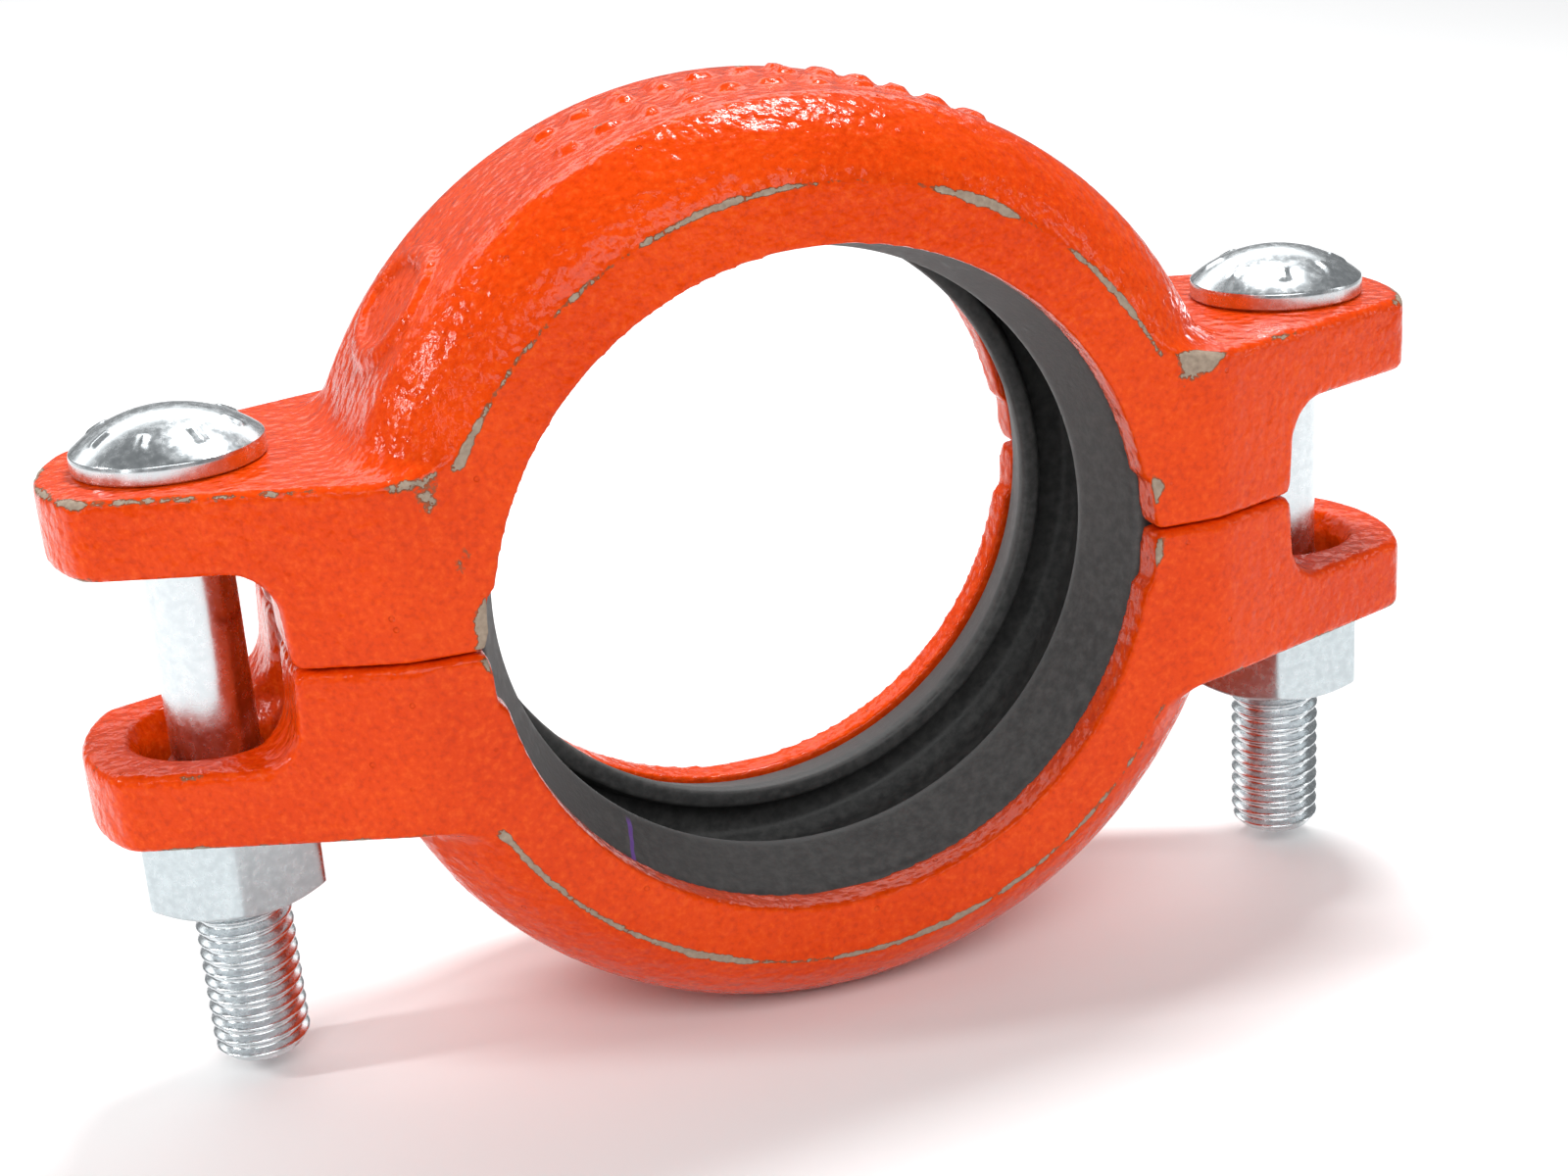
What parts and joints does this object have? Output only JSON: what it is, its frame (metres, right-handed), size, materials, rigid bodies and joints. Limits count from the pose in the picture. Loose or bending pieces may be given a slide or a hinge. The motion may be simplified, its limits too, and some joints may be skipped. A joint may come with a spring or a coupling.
{
  "type": "pipe coupling",
  "caption": "Two-piece bolted housing with a rubber ring seal that clamps two grooved pipe ends together.",
  "frame": {"origin": "centre of the pipe bore, on the plane where the two housings meet", "axes": "+X across the two bolts, +Y along the pipe, +Z along the bolts towards their heads"},
  "size_m": [0.1854, 0.051, 0.1228],
  "materials": {
    "painted_iron": "glossy orange-red enamel over sand-cast ductile iron, chipped to grey primer and metal along the edges",
    "seal_rubber": "matt moulded synthetic rubber",
    "zinc_bolt": "bright zinc plating, satin on the shank",
    "zinc_nut": "pale satin zinc plating"
  },
  "bodies": {
    "lower_half": {"lower_housing": "painted_iron", "gasket": "seal_rubber"},
    "upper_half": {"upper_housing": "painted_iron"},
    "left_bolt": {"bolt_left": "zinc_bolt"},
    "right_bolt": {"bolt_right": "zinc_bolt"},
    "left_nut": {"nut_left": "zinc_nut"},
    "right_nut": {"nut_right": "zinc_nut"}
  },
  "joints": [
    {"name": "upper_half_lift", "type": "slide", "parent": "lower_half", "child": "upper_half", "axis": [0, 0, 1], "range_m": [0, 0.0234]},
    {"name": "left_bolt_lift", "type": "slide", "parent": "lower_half", "child": "left_bolt", "axis": [0, 0, 1], "range_m": [0, 0.0235]},
    {"name": "right_bolt_lift", "type": "slide", "parent": "lower_half", "child": "right_bolt", "axis": [0, 0, 1], "range_m": [0, 0.0235]},
    {"name": "left_nut_turn", "type": "hinge", "parent": "lower_half", "child": "left_nut", "pos_m": [-0.0763, 0, -0.0285], "axis": [0, 0, -1], "range_deg": [0, 4320]},
    {"name": "right_nut_turn", "type": "hinge", "parent": "lower_half", "child": "right_nut", "pos_m": [0.0763, 0, -0.0285], "axis": [0, 0, -1], "range_deg": [0, 4320]}
  ],
  "couplings": [
    {"joint": "left_bolt_lift", "follows": "upper_half_lift", "ratio": 1},
    {"joint": "right_bolt_lift", "follows": "upper_half_lift", "ratio": 1},
    {"joint": "left_nut_turn", "follows": "upper_half_lift", "rad_per_m": 3215.8},
    {"joint": "right_nut_turn", "follows": "upper_half_lift", "rad_per_m": 3215.8}
  ]
}
